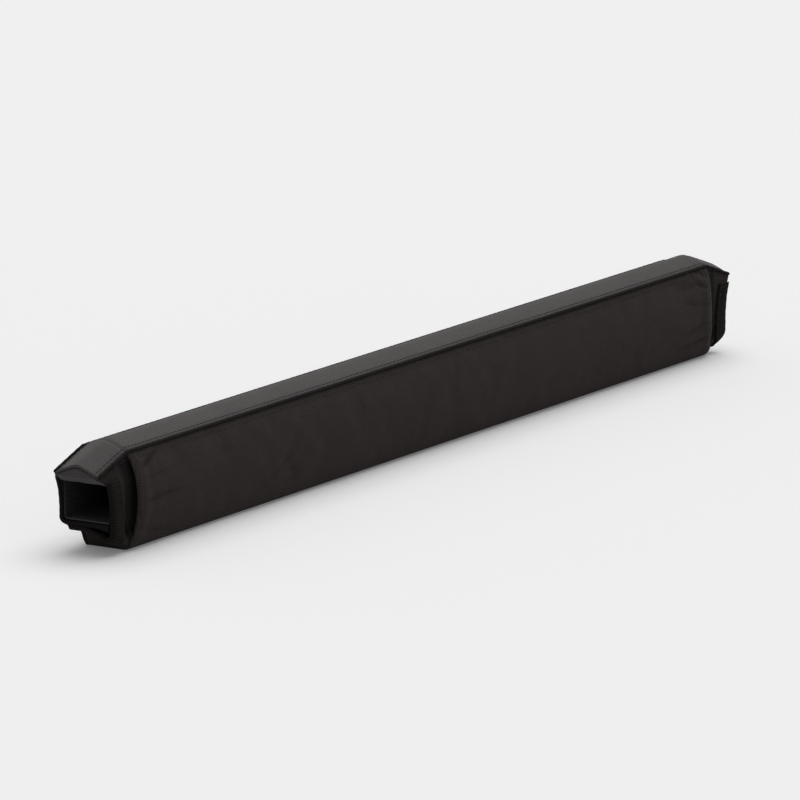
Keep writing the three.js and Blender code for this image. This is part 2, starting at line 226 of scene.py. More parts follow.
def woven_polyester(name, dark, light, sheen):
    material, tree, shader = new_material(name)
    place = add_node(tree, "ShaderNodeAttribute", attribute_name="cloth_mm")
    wander = add_node(
        tree,
        "ShaderNodeTexNoise",
        {"Vector": place.outputs["Vector"], "Scale": 0.11, "Detail": 2.0},
    )
    shifted = add_node(
        tree,
        "ShaderNodeVectorMath",
        {0: wander.outputs["Color"], 1: (0.8, 0.8, 0.0), 2: place.outputs["Vector"]},
        operation="MULTIPLY_ADD",
    )
    turns = add_node(
        tree,
        "ShaderNodeVectorMath",
        {0: shifted.outputs["Vector"], "Scale": math.pi / THREAD_PITCH},
        operation="SCALE",
    )
    split = add_node(tree, "ShaderNodeSeparateXYZ", {0: turns.outputs["Vector"]})
    waves, threads = [], []
    for axis in (0, 1):
        wave = add_node(tree, "ShaderNodeMath", {0: split.outputs[axis]}, operation="SINE")
        waves.append(wave.outputs[0])
        threads.append(add_node(tree, "ShaderNodeMath", {0: waves[axis]}, operation="ABSOLUTE"))
    crossing = add_node(
        tree,
        "ShaderNodeMath",
        {0: waves[0], 1: waves[1]},
        operation="MULTIPLY",
    )
    which = add_node(
        tree,
        "ShaderNodeMapRange",
        {"Value": crossing.outputs[0], "From Min": -0.3, "From Max": 0.3},
    )
    height = add_node(
        tree,
        "ShaderNodeMix",
        {
            "Factor": which.outputs[0],
            "A": threads[0].outputs[0],
            "B": threads[1].outputs[0],
        },
    )
    fuzz = add_node(
        tree,
        "ShaderNodeTexNoise",
        {"Vector": place.outputs["Vector"], "Scale": 1.6, "Detail": 3.0, "Roughness": 0.7},
    )
    mottle = add_node(
        tree,
        "ShaderNodeTexNoise",
        {"Vector": place.outputs["Vector"], "Scale": 0.03, "Detail": 4.0, "Roughness": 0.55},
    )
    depth = add_node(
        tree,
        "ShaderNodeMath",
        {0: fuzz.outputs["Fac"], 1: 0.5, 2: height.outputs[0]},
        operation="MULTIPLY_ADD",
    )
    tone = add_node(
        tree,
        "ShaderNodeMath",
        {0: mottle.outputs["Fac"], 1: 0.5, 2: depth.outputs[0]},
        operation="MULTIPLY_ADD",
    )
    spread = add_node(
        tree,
        "ShaderNodeMapRange",
        {"Value": tone.outputs[0], "From Min": 0.1, "From Max": 1.7},
    )
    ramp = add_node(tree, "ShaderNodeValToRGB", {"Fac": spread.outputs[0]})
    colour_steps(ramp, [(0.0, linear(dark)), (1.0, linear(light))])
    # Painted shade: the colour is mixed towards near-black where a piece marks its folds, creases
    # and seams.
    painted_shade = add_node(tree, "ShaderNodeAttribute", attribute_name="painted_shade")
    shaded = add_node(
        tree,
        "ShaderNodeMix",
        {
            "Factor": painted_shade.outputs["Fac"],
            "A": ramp.outputs["Color"],
            "B": linear(PAINTED_SHADE_BLACK),
        },
        data_type="RGBA",
    )
    rough = add_node(
        tree,
        "ShaderNodeMapRange",
        {"Value": depth.outputs[0], "From Max": 1.5, "To Min": 0.95, "To Max": 0.78},
    )
    dull = {"Sheen Weight": sheen, "Sheen Roughness": 0.5, "Specular IOR Level": 0.08}
    dress(tree, shader, shaded.outputs[2], rough.outputs[0], depth.outputs[0], 0.32, 0.8, dull)
    return material


top_cloth = woven_polyester("woven_polyester_top", "484445", "625e5e", 0.06)
side_cloth = woven_polyester("woven_polyester_side", "2d2727", "453d3d", 0.02)
print("thread pitch drawn", THREAD_PITCH, "mm")

# %% [markdown]
# The narrow parts: binding tape is a ribbed grosgrain, the welt is the cover's cloth cut on
# the bias over a cord, and the seams are sewn with a twisted thread. Each is a stripe that
# runs across or round the piece, so one recipe with its own pitch and colour makes all three.

# %% Ribbed tape, welt and thread
def ribbed(name, dark, light, pitch, slant, depth, rough):
    """Woven or twisted yarn: stripes across the length of a piece, straight or at a slant."""
    material, tree, shader = new_material(name)
    place = add_node(tree, "ShaderNodeAttribute", attribute_name="cloth_mm")
    split = add_node(tree, "ShaderNodeSeparateXYZ", {0: place.outputs["Vector"]})
    leaned = add_node(
        tree,
        "ShaderNodeMath",
        {0: split.outputs["Y"], 1: slant, 2: split.outputs["X"]},
        operation="MULTIPLY_ADD",
    )
    angle = add_node(
        tree,
        "ShaderNodeMath",
        {0: leaned.outputs[0], 1: 2 * math.pi / pitch},
        operation="MULTIPLY",
    )
    wave = add_node(tree, "ShaderNodeMath", {0: angle.outputs[0]}, operation="SINE")
    fuzz = add_node(
        tree,
        "ShaderNodeTexNoise",
        {"Vector": place.outputs["Vector"], "Scale": 0.9, "Detail": 4.0, "Roughness": 0.65},
    )
    height = add_node(
        tree,
        "ShaderNodeMath",
        {0: fuzz.outputs["Fac"], 1: 1.2, 2: wave.outputs[0]},
        operation="MULTIPLY_ADD",
    )
    spread = add_node(
        tree,
        "ShaderNodeMapRange",
        {"Value": height.outputs[0], "From Min": -0.8, "From Max": 2.0},
    )
    ramp = add_node(tree, "ShaderNodeValToRGB", {"Fac": spread.outputs[0]})
    colour_steps(ramp, [(0.0, linear(dark)), (1.0, linear(light))])
    roughness = add_node(
        tree,
        "ShaderNodeMapRange",
        {"Value": spread.outputs[0], "To Min": rough + 0.08, "To Max": rough - 0.06},
    )
    dull = {"Sheen Weight": 0.02, "Specular IOR Level": 0.05}
    colour, rough = ramp.outputs["Color"], roughness.outputs[0]
    dress(tree, shader, colour, rough, height.outputs[0], depth, 0.8, dull)
    return material


grosgrain = ribbed("grosgrain_tape", "181514", "282422", 1.5, 0.0, 0.25, 0.84)
welt_cloth = ribbed("bias_cut_welt", "191615", "2b2726", 1.6, 1.0, 0.2, 0.85)
sewing_thread = ribbed("sewing_thread", "2c2827", "4a4544", 0.9, 0.9, 0.1, 0.7)
print("striped:", grosgrain.name, welt_cloth.name, sewing_thread.name)

# %% [markdown]
# Inside are closed-cell foam and a lining that doesn't slip: a thin cloth coated with rubber,
# with rows of small raised dots. Foam shows round cells of 1 to 2 mm where it is cut. The two
# halves of the closure are a field of stiff hooks and a field of brushed loops.

# %% Foam, lining and closure
def cellular(name, dark, light, cell, depth, rough, sheen=0.0, smooth=False):
    """Cells, dots or loops: a cell pattern of one size with a little noise over it."""
    material, tree, shader = new_material(name)
    place = add_node(tree, "ShaderNodeAttribute", attribute_name="cloth_mm")
    cells = add_node(
        tree,
        "ShaderNodeTexVoronoi",
        {
            "Vector": place.outputs["Vector"],
            "Scale": 1 / cell,
            "Randomness": 0.0 if smooth else 1.0,
        },
    )
    fuzz = add_node(
        tree,
        "ShaderNodeTexNoise",
        {"Vector": place.outputs["Vector"], "Scale": 0.5, "Detail": 5.0},
    )
    inner = add_node(
        tree,
        "ShaderNodeMapRange",
        {
            "Value": cells.outputs["Distance"],
            "From Min": 0.22 if smooth else 0.0,
            "From Max": 0.3 if smooth else 0.7,
            "To Min": 1.0 if smooth else 0.0,
            "To Max": 0.0 if smooth else 1.0,
        },
    )
    height = add_node(
        tree,
        "ShaderNodeMath",
        {0: fuzz.outputs["Fac"], 1: 0.4, 2: inner.outputs[0]},
        operation="MULTIPLY_ADD",
    )
    ramp = add_node(tree, "ShaderNodeValToRGB", {"Fac": height.outputs[0]})
    colour_steps(ramp, [(0.1, linear(dark)), (0.95, linear(light))])
    roughness = add_node(
        tree,
        "ShaderNodeMapRange",
        {"Value": height.outputs[0], "To Min": rough + 0.04, "To Max": rough - 0.08},
    )
    colour, rough = ramp.outputs["Color"], roughness.outputs[0]
    dress(tree, shader, colour, rough, height.outputs[0], depth, 0.7, {"Sheen Weight": sheen})
    return material


foam_cells = cellular("closed_cell_foam", "2c2c2e", "434346", 1.6, 0.4, 0.92)
grip_rubber = cellular("rubber_dotted_lining", "171718", "29292b", 3.0, 0.5, 0.7, smooth=True)
hook_field = cellular("nylon_hooks", "151414", "2e2b2b", 1.0, 0.6, 0.6)
loop_field = cellular("brushed_loops", "1d1b1b", "353130", 1.4, 0.5, 0.95, sheen=0.3)
print("cellular:", foam_cells.name, grip_rubber.name, hook_field.name, loop_field.name)

# %% [markdown]
# The soft pieces are grids of points. A grid knows for each point how far it lies along the pad
# and down the cloth, so the weave follows the cloth round every corner. The slab helper gives
# a grid its thickness and closes the rim, and the tube helper sweeps a closed ring.

# %% Helpers for meshes
def mix(a, b, t):
    return a + (b - a) * t


def clamp(t):
    return np.clip(t, 0.0, 1.0)


def ease(t):
    t = clamp(t)
    return t * t * (3 - 2 * t)


def bell(distance, width):
    return np.exp(-((distance / width) ** 2))


def grid_normals(grid):
    across = np.gradient(grid, axis=0)
    along = np.gradient(grid, axis=1)
    normal = np.cross(across, along)
    return normal / np.maximum(np.linalg.norm(normal, axis=2, keepdims=True), 1e-9)


def grid_faces(rows, columns, closed=False):
    """Quads over a grid; closed joins the last row back to the first."""
    last = rows if closed else rows - 1
    r, c = np.meshgrid(np.arange(last), np.arange(columns - 1), indexing="ij")
    here, below = r * columns + c, (r + 1) % rows * columns + c
    return np.stack([here, below, below + 1, here + 1], axis=-1).reshape(-1, 4)


def new_piece(name, points, faces, place, material, painted_shade=None, sharp=50):
    """A mesh object in metres with its cloth coordinates and its painted shade, smooth but for its
    sharp edges.
    """
    mesh = bpy.data.meshes.new(name)
    mesh.from_pydata((np.asarray(points) * MM).tolist(), [], [list(f) for f in faces])
    mesh.polygons.foreach_set("use_smooth", [True] * len(mesh.polygons))
    where = mesh.attributes.new("cloth_mm", "FLOAT_VECTOR", "POINT")
    where.data.foreach_set("vector", np.asarray(place, dtype=np.float32).ravel())
    dark = np.zeros(len(points)) if painted_shade is None else painted_shade
    # The painted shade of each point; the woven cloth mixes its colour towards near-black by it.
    painted_shade_layer = mesh.attributes.new("painted_shade", "FLOAT", "POINT")
    painted_shade_layer.data.foreach_set("value", dark.astype(np.float32))
    mesh.materials.append(material)
    mesh.update()
    mesh.set_sharp_from_angle(angle=math.radians(sharp))
    piece = bpy.data.objects.new(name, mesh)
    bpy.context.scene.collection.objects.link(piece)
    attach(piece, "root")
    print(name, len(mesh.vertices), "points")
    return piece


def slab(grid, thickness):
    """Points and faces of a sheet with its outer face on the grid and a closed rim."""
    rows, columns = grid.shape[:2]
    inner = grid - grid_normals(grid) * thickness
    count = rows * columns
    outer_faces = grid_faces(rows, columns)
    inner_faces = outer_faces[:, ::-1] + count
    index = np.arange(count).reshape(rows, columns)
    ring = np.concatenate([index[:-1, 0], index[-1, :-1], index[:0:-1, -1], index[0, :0:-1]])
    after = np.roll(ring, -1)
    rim = np.stack([ring, ring + count, after + count, after], axis=1)
    points = np.concatenate([grid.reshape(-1, 3), inner.reshape(-1, 3)])
    return points, np.concatenate([outer_faces, inner_faces, rim])


def cloth_piece(name, grid, place, thickness, material, painted_shade=None):
    points, faces = slab(grid, thickness)
    flat = np.tile(place.reshape(-1, 3), (2, 1))
    both = None if painted_shade is None else np.tile(painted_shade.ravel(), 2)
    return new_piece(name, points, faces, flat, material, both)


def swept(rings):
    """Points and faces of a closed ring of points swept along a path, with capped ends."""
    size, columns = rings.shape[:2]
    faces = [list(f) for f in grid_faces(size, columns, closed=True)]
    faces.append([i * columns for i in range(size)])
    faces.append([i * columns + columns - 1 for i in range(size - 1, -1, -1)])
    return rings.reshape(-1, 3), faces


def ring_place(rings):
    """Cloth coordinates for a swept ring: along the path, and round the ring."""
    step = np.linalg.norm(np.diff(rings, axis=1), axis=2).mean(axis=0)
    along = np.concatenate([[0], np.cumsum(step)])
    around = np.linalg.norm(np.diff(rings, axis=0, append=rings[:1]), axis=2).mean(axis=1)
    around = np.concatenate([[0], np.cumsum(around)[:-1]])
    place = np.zeros(rings.shape)
    place[..., 0] = along[None, :]
    place[..., 1] = around[:, None]
    return place.reshape(-1, 3)


# %% [markdown]
# The section. A panel starts at the seam, bulges over the padding, turns the lower corner and
# runs in below the channel. At each end the padding stops and the cover falls in to hug the
# lining, so there is a second section, and one number, how far the cover has fallen, mixes the
# two. The full one lies flat underneath, and the hugging one rises there. u counts from
# 0 at the seam to 1 at the free edge of the flap; a station counts past the straight part.

# %% The section of the cover
def sink(station):
    return NOSE_SLOPE * (station + np.hypot(station, RIDGE_ROUND / 2)) / 2


def roof(x, station):
    return CREST_LEVEL - sink(station) - ROOF_SLOPE * (np.hypot(x, RIDGE_ROUND) - RIDGE_ROUND)


def corner_of(cover):
    level = cover["base"] + CORNER
    angle = math.asin((level - BULGE_LEVEL) / (ARC - CORNER))
    return level, angle, ARC_X + (ARC - CORNER) * math.cos(angle)


def full_section(cover, u):
    level, start, corner_x = corner_of(cover)
    top = math.asin((PANEL_TOP - BULGE_LEVEL) / ARC)
    side = mix(top, start, u / CORNER_AT)
    turn = mix(start, -math.pi / 2, (u - CORNER_AT) / (FLAP_AT - CORNER_AT))
    flap = mix(corner_x, cover["edge"], (u - FLAP_AT) / (1 - FLAP_AT))
    parts = [u < CORNER_AT, u < FLAP_AT]
    x = np.select(parts, [ARC_X + ARC * np.cos(side), corner_x + CORNER * np.cos(turn)], flap)
    z = np.select(
        parts,
        [BULGE_LEVEL + ARC * np.sin(side), level + CORNER * np.sin(turn)],
        cover["base"],
    )
    return x, z


def flap_level(cover, station):
    return cover["base"] + cover["rise"] * clamp((station + RISE_START) / (MOUTH_SIDE + RISE_START))


def flap_lift(cover, station):
    """The free edge of the front flap lifts to lie just under the rear one."""
    if cover["side"] < 0:
        return 0.0
    room = flap_level(REAR, station) - flap_level(cover, station) - (FABRIC + BINDING + 3 * SEAT)
    return room * clamp((station + FOLD_START) / LIFT_RUN)


def hug_section(cover, u, station):
    base = flap_level(cover, station)
    across = clamp((u - FLAP_AT) / (1 - FLAP_AT))
    radius = cover["end_radius"]
    corner_x, level = HUG_HALF - radius, base + radius
    down = u / SHOULDER_AT
    turn = -math.pi / 2 * (u - CORNER_AT) / (FLAP_AT - CORNER_AT)
    parts = [u < SHOULDER_AT, u < CORNER_AT, u < FLAP_AT]
    x = np.select(
        parts,
        [mix(SEAM_SPREAD, HUG_HALF, down), HUG_HALF + 0 * u, corner_x + radius * np.cos(turn)],
        mix(corner_x, cover["edge"], (u - FLAP_AT) / (1 - FLAP_AT)),
    )
    z = np.select(
        parts,
        [
            mix(PANEL_TOP - sink(station), SHOULDER_LEVEL, down),
            mix(SHOULDER_LEVEL, level, (u - SHOULDER_AT) / (CORNER_AT - SHOULDER_AT)),
            level + radius * np.sin(turn),
        ],
        base + flap_lift(cover, station) * (1 - (1 - across) ** 3),
    )
    return x, z


def bow(u):
    return np.sin(math.pi * clamp(u / CORNER_AT)) ** 0.7


def fallen(u, station):
    return ease((station + FOLD_START + FOLD_BOW * bow(u)) / FOLD_RUN)


def mouth_edge(u):
    down = clamp((u - SHOULDER_AT) / (CORNER_AT - SHOULDER_AT))
    slant = mix(MOUTH_SIDE, MOUTH_TOP, (1 - down) ** 3)
    return np.where(u < SHOULDER_AT, mix(NOSE_LENGTH, MOUTH_TOP, u / SHOULDER_AT), slant)


def cover_section(cover, u, station):
    full_x, full_z = full_section(cover, u)
    hug_x, hug_z = hug_section(cover, u, station)
    fall = fallen(u, station)
    drop = np.where(u < CORNER_AT, sink(station) * clamp(1 - u / CORNER_AT) * (1 - fall), 0.0)
    return mix(full_x, hug_x, fall), mix(full_z, hug_z, fall) - drop


def steps_down(cover, spacing):
    """Values of u that are evenly spaced in mm down the cloth, and those distances."""
    top = math.asin((PANEL_TOP - BULGE_LEVEL) / ARC)
    start = corner_of(cover)[1]
    seam = math.asin((SEAM_LEVEL - BULGE_LEVEL) / ARC)
    first = CORNER_AT * (seam - top) / (start - top)
    u = np.linspace(first, 1, 2000)
    x, z = full_section(cover, u)
    length = np.concatenate([[0], np.cumsum(np.hypot(np.diff(x), np.diff(z)))])
    wanted = np.linspace(0, length[-1], int(length[-1] / spacing) + 1)
    return np.interp(wanted, length, u), wanted


ROW_SPACING = 1.6
for cover in (FRONT, REAR):
    length = steps_down(cover, ROW_SPACING)[1][-1]
    print(cover["title"], "panel is", round(length, 1), "mm from seam to edge")

# %% [markdown]
# Cloth over foam is never quite even. Close to a seam the thread gathers it in small puckers and
# pulls it into a shallow valley. Further down it runs in long, soft waves, because the cover is
# pulled tight by its closure. Sharper creases run out from the folds at both ends. All
# of them are added as heights, in mm, drawn from seeded numbers so that each run is the same.

# %% Waves, puckers and creases
PUCKER_PITCH = 6.4


def soft_waves(y, v, seed, amplitude):
    chance = np.random.default_rng(seed)
    total = np.zeros(np.broadcast(y, v).shape)
    for _ in range(9):
        length = chance.uniform(38, 150)
        lean = chance.normal(0, 0.35)
        phase = chance.uniform(0, 2 * math.pi)
        wave = np.sin(2 * math.pi * (y + lean * v) / length + phase + 0.02 * v)
        total = total + wave * chance.uniform(0.4, 1)
    return amplitude * total / 3.2


def puckers(y, v, seed):
    chance = np.random.default_rng(seed)
    wander = sum(
        chance.uniform(0.5, 1.6)
        * np.sin(2 * math.pi * y / chance.uniform(30, 90) + chance.uniform(0, 6.3))
        for _ in range(4)
    )
    swell = 0.75 + 0.25 * np.sin(2 * math.pi * y / 23 + wander)
    gathers = np.sin(2 * math.pi * y / PUCKER_PITCH + wander) * swell
    return 0.26 * gathers * np.exp(-v / 7) - 0.85 * np.exp(-v / 2.6)


def crease_lines(cover, length_down):
    """Creases as y0, v0, y1, v1, depth, width: a few at both ends, faint ones along the middle."""
    chance = np.random.default_rng(cover["seed"] + 100)
    lines = []
    for end in (-1, 1):
        for start_v in chance.uniform(6, 62, 9):
            start = STRAIGHT_HALF - chance.uniform(5, 9)
            reach = chance.uniform(12, 46)
            lean = (start_v - 34) * chance.uniform(0.15, 0.45) + chance.normal(0, 3)
            depth, width = chance.uniform(0.35, 0.9), chance.uniform(1.3, 2.6)
            near_y, far_y = end * start, end * (start - reach)
            lines.append((near_y, start_v, far_y, start_v + lean, depth, width))
    for _ in range(16):
        y = chance.uniform(-300, 300)
        v = chance.uniform(6, length_down - 30)
        far_y, far_v = y + chance.normal(0, 16), v + chance.uniform(9, 26)
        depth, width = chance.uniform(0.15, 0.4), chance.uniform(2.0, 3.6)
        lines.append((y, v, far_y, far_v, depth, width))
    return lines


def crease_height(y, v, lines):
    total = np.zeros(np.broadcast(y, v).shape)
    for y0, v0, y1, v1, depth, width in lines:
        run = (y1 - y0) ** 2 + (v1 - v0) ** 2
        along = clamp(((y - y0) * (y1 - y0) + (v - v0) * (v1 - v0)) / run)
        away = np.hypot(y - (y0 + along * (y1 - y0)), v - (v0 + along * (v1 - v0)))
        fade = np.sin(math.pi * clamp(0.12 + 0.88 * along)) ** 0.6
        swell = 0.45 * bell(away - 2.2 * width, 1.4 * width)
        total = total + depth * fade * (swell - bell(away, width))
    return total


# %% [markdown]
# Where the spare cloth goes is hard to draw, and easy to let happen. A cover is cut a little
# larger than its foam, so each panel is handed to Blender's Cloth as a flat net that wants to
# grow by under one percent. It is held at its seam, at the lower corner and at the folds, and a
# little pressure stands for the foam behind it. After some frames it has buckled as real cloth
# does. Only the height of those buckles is kept, smoothed a little and capped in both ways,
# because the foam doesn't let the cloth in, and the seam doesn't let it far out.

# %% Cloth at rest
SETTLE_FRAMES = 14
GROWTH, PRESSURE = 0.008, 2.0


def smoothed(field, times):
    for _ in range(times):
        wide = np.pad(field, 1, mode="edge")
        beside = wide[:-2, 1:-1] + wide[2:, 1:-1] + wide[1:-1, :-2] + wide[1:-1, 2:]
        field = (beside + 2 * field) / 6
    return field


def settled(title, grid, held):
    rows, columns = grid.shape[:2]
    mesh = bpy.data.meshes.new("net")
    mesh.from_pydata((grid.reshape(-1, 3) * MM).tolist(), [], grid_faces(rows, columns).tolist())
    net = bpy.data.objects.new("net", mesh)
    bpy.context.scene.collection.objects.link(net)
    group = net.vertex_groups.new(name="held")
    for point, weight in enumerate(held.ravel()):
        if weight > 0.02:
            group.add([point], float(weight), "REPLACE")
    cloth = net.modifiers.new("cloth", "CLOTH")
    settings = cloth.settings
    settings.quality = 5
    settings.mass = 0.3
    settings.vertex_group_mass = "held"
    settings.tension_stiffness = settings.compression_stiffness = 15
    settings.shear_stiffness = 5
    settings.bending_stiffness = 0.5
    settings.shrink_min = -GROWTH
    settings.use_pressure = True
    settings.uniform_pressure_force = PRESSURE
    settings.effector_weights.gravity = 0
    cloth.point_cache.frame_start, cloth.point_cache.frame_end = 1, SETTLE_FRAMES
    for step in range(1, SETTLE_FRAMES + 1):
        bpy.context.scene.frame_set(step)
    rested = net.evaluated_get(bpy.context.evaluated_depsgraph_get())
    moved = np.empty(rows * columns * 3, np.float32)
    rested.data.vertices.foreach_get("co", moved)
    bpy.data.objects.remove(net)
    bpy.context.scene.frame_set(1)
    height = ((moved.reshape(rows, columns, 3) / MM - grid) * grid_normals(grid)).sum(axis=2)
    height = smoothed(height, 2)
    low, high = round(height.min(), 2), round(height.max(), 2)
    print(title, "cloth settled, heights in mm:", low, "to", high)
    return height


# %% [markdown]
# A side panel. The grid is fine at both ends, where the fold is, and coarser between them. At the
# fold the cloth rolls over the end of the padding: the outer half of the roll is pushed towards
# the mouth and the inner half is pulled back under it, which leaves a real, deep crease with
# its own shadow, and a painted shade darkens its hollow further. A heap of short diagonal folds
# gathers at the foot of that crease.

# %% Side panels
MIDDLE = np.arange(-(STRAIGHT_HALF - 30), STRAIGHT_HALF - 30 + 1, 2.9)
END_STATIONS = np.concatenate([np.arange(-30, -10, 1.6), np.arange(-10, 5.01, 0.5)])
MOUTH_PARTS = np.linspace(0, 1, 17)[1:]
BUCKLE_SHARE, BUCKLE_LOW, BUCKLE_HIGH, CREASE_SHARE = 0.6, -0.8, 1.8, 0.7
ROLL, SWELL, HEAP, WAVE = 2.3, 0.9, 0.9, 0.22


def cloth_columns(edge):
    """y of every column, for rows whose mouth lies at these stations."""
    last = END_STATIONS[-1]
    tail = last + MOUTH_PARTS[None, :] * (edge[:, None] - last)
    end = np.concatenate([np.tile(END_STATIONS, (len(edge), 1)), tail], axis=1) + STRAIGHT_HALF
    return np.concatenate([-end[:, ::-1], np.tile(MIDDLE[1:-1], (len(edge), 1)), end], axis=1)


def side_grid(cover):
    """The outer face of a panel with all its folds, its cloth coordinates, and the shade painted
    into its fold, its creases and under its seam.
    """
    u, v = steps_down(cover, ROW_SPACING)
    y = cloth_columns(mouth_edge(u))
    u, v = u[:, None] + 0 * y, v[:, None] + 0 * y
    end, station = np.sign(y), np.abs(y) - STRAIGHT_HALF
    x, z = cover_section(cover, u, station)
    grid = np.stack([x, y, z], axis=2)
    normal = grid_normals(grid)
    fall = fallen(u, station)
    fold = station + FOLD_START + FOLD_BOW * bow(u)
    on_side = 1 - ease((u - 0.62) / 0.12)
    full = 1 - fall
    lines = crease_lines(cover, v.max())
    creases = crease_height(y, v, lines) * full * (1 - ease((u - 0.7) / 0.08))
    held = clamp(np.maximum.reduce([1 - v / 2.5, (u - 0.7) / 0.05, (station + 13) / 3]))
    loose = np.clip(settled(cover["title"], grid, held), BUCKLE_LOW, BUCKLE_HIGH)
    waves = soft_waves(y, v, cover["seed"] + 1, WAVE) * on_side * full * ease(v / 9)
    height = puckers(y, v, cover["seed"]) + waves
    height += BUCKLE_SHARE * loose + CREASE_SHARE * creases
    height += SWELL * bell(fold + 3.5, 4.5) * full * on_side * ease(v / 8)
    foot = bell(u - 0.63, 0.09) * bell(station - 3, 6.5)
    slant = np.sin(2 * math.pi * (station + 0.55 * v) / 6.2)
    height += foot * HEAP * slant * ease(fall + 0.2)
    height -= 0.3 * bell(fold - 6, 3) * (1 - full)
    grid = grid + normal * height[..., None]
    above_corner = 1 - ease((u - CORNER_AT) / 0.06)
    grid[..., 1] += end * ROLL * np.sin(2 * math.pi * fall) * (0.3 + 0.7 * bow(u)) * above_corner
    grid[..., 2] = np.maximum(grid[..., 2], 0.0)
    # Painted shade: the hollow of the end fold goes towards near-black, and so do the crease
    # valleys and the cloth just under the seam.
    hollow_shade = ease((fold - 0.8) / 2.6) * (1 - 0.6 * ease((fold - 10.5) / 4.5))
    shade = hollow_shade * on_side * ease(v / 6) + 0.45 * clamp(-creases) + 0.5 * np.exp(-v / 1.8)
    return grid, np.stack([y, v, 0 * y], axis=2), clamp(shade)


side_grids = {}
for cover in (FRONT, REAR):
    title = cover["title"]
    grid, place, shade = side_grid(cover)
    if cover["side"] < 0:
        grid = grid * np.array([-1, 1, 1])
        grid, place, shade = grid[:, ::-1], place[:, ::-1], shade[:, ::-1]
    side_grids[title] = grid
    piece = cloth_piece(f"{title}_cover", grid, place, FABRIC, side_cloth, shade)
    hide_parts(f"{title}_panel", f"{title}_flap_cover")

# %% [markdown]
# The top panel covers the roof-shaped back of the foam and both sloped noses. Its crest is a soft
# ridge. It is pulled down towards both seams and puckers there, and at each tip its hem turns
# down over the edge of the foam.

# %% Top panel
TOP_WAVE, MEASURED_COLUMN = 0.12, 150


def top_columns():
    nose = np.linspace(6, NOSE_LENGTH - 1, 17)[1:]
    end = np.concatenate([np.arange(-30, -6, 1.8), np.arange(-6, 6.01, 0.6), nose]) + STRAIGHT_HALF
    return np.concatenate([-end[::-1], MIDDLE[1:-1], end])


def top_grid():
    across = np.linspace(-SEAM_SPREAD, SEAM_SPREAD, 31)[:, None]
    x, y = np.broadcast_arrays(across, top_columns()[None, :])
    station = np.abs(y) - STRAIGHT_HALF
    grid = np.stack([x, y, roof(x, station)], axis=2)
    seam_distance = SEAM_SPREAD - np.abs(x)
    height = puckers(y, seam_distance, 5) + soft_waves(y, x, 7, TOP_WAVE) * ease(seam_distance / 7)
    height += 0.35 * bell(station + 4, 4) - 0.5 * bell(station - 0.8, 1.6)
    grid = grid + grid_normals(grid) * height[..., None]
    turn = np.radians([30, 60, 90])
    hems = []
    for column, end in ((0, -1), (-1, 1)):
        edge = grid[:, column]
        hem = [edge + np.array([0, end * np.sin(a), np.cos(a) - 1]) for a in turn]
        hem.append(hem[-1] - np.array([0, 0, FABRIC]))
        hems.append(np.stack(hem, axis=1))
    grid = np.concatenate([hems[0][:, ::-1], grid, hems[1]], axis=1)
    step = np.linalg.norm(np.diff(grid[15], axis=0), axis=1)
    along = np.concatenate([[0], np.cumsum(step)])
    place = np.stack(np.broadcast_arrays(along[None, :], grid[..., 0], 0.0), axis=2)
    # Painted shade: the cloth darkens towards both seams.
    shade = 0.6 * np.exp((np.abs(grid[..., 0]) - SEAM_SPREAD) / 1.8)
    return grid, place, clamp(shade)


top_surface, place, shade = top_grid()
top = cloth_piece("top_cover", top_surface, place, FABRIC, top_cloth, shade)
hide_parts("top_panel")

# %% [markdown]
# The welt is a thin cord in a bias strip, 2.1 mm across in all, caught in each long seam. It
# follows the seam down the noses, and swells a little between the stitches that hold it.

# %% Welts
WELT_RADIUS = 1.05


def welt(side):
    tip = STRAIGHT_HALF + NOSE_LENGTH
    y = np.concatenate([[-tip], top_columns(), [tip]])
    station = np.abs(y) - STRAIGHT_HALF
    angle = np.linspace(0, 2 * math.pi, 13)[:-1][:, None]
    radius = WELT_RADIUS + 0.07 * np.sin(2 * math.pi * y / PUCKER_PITCH + 1.3 * side)[None, :]
    radius = radius * clamp((tip - np.abs(y)) / 1.2 + 0.4)[None, :]
    x = side * (SEAM_SPREAD + 0.1) + radius * np.sin(angle)
    z = SEAM_LEVEL - 0.3 - sink(station)[None, :] + radius * np.cos(angle)
    rings = np.stack([x, np.broadcast_to(y, x.shape), z], axis=2)
    points, faces = swept(rings)
    title = "front" if side > 0 else "rear"
    piece = new_piece(f"{title}_piping", points, faces, ring_place(rings), welt_cloth)
    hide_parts(f"{title}_welt")


welt(1)
welt(-1)

# %% [markdown]
# Under each tip the cover closes the nose: a low gable face below the hem of the top panel, a
# turned lower edge, and a sloped underside that runs back to the lining. One strip of cloth makes
# all three, bent round a small radius.

# %% Nose facings
FACING_BEND = 1.3


def nose_underside(station):
    return SHOULDER_LEVEL + UNDERSIDE_SLOPE * (station - MOUTH_TOP)


def facing_rows(part):
    """Rows of x, station and z, from the hem of the top panel round and back to the lining."""
    corner = SEAM_SPREAD - WELT_ROOM
    wide = HUG_HALF - FABRIC - 2 * SEAT
    back = MOUTH_TOP - 1.5
    turned = math.pi / 2 - math.atan(UNDERSIDE_SLOPE)
    bend_level = nose_underside(NOSE_LENGTH) + math.tan(turned / 2) * FACING_BEND
    hem = roof(corner * part, NOSE_LENGTH) - LIP_DEPTH
    for t in np.linspace(0, 1, 5)[:-1]:
        yield corner * part, NOSE_LENGTH, mix(hem, bend_level, t)
    for a in np.linspace(0, turned, 7):
        station = NOSE_LENGTH - FACING_BEND + FACING_BEND * math.cos(a)
        level = bend_level - FACING_BEND * math.sin(a)
        yield corner * part, station, level
    for t in np.linspace(0, 1, 9)[1:]:
        yield (
            mix(corner, wide, t) * part,
            mix(station, back, t),
            mix(level, nose_underside(back), t),
        )


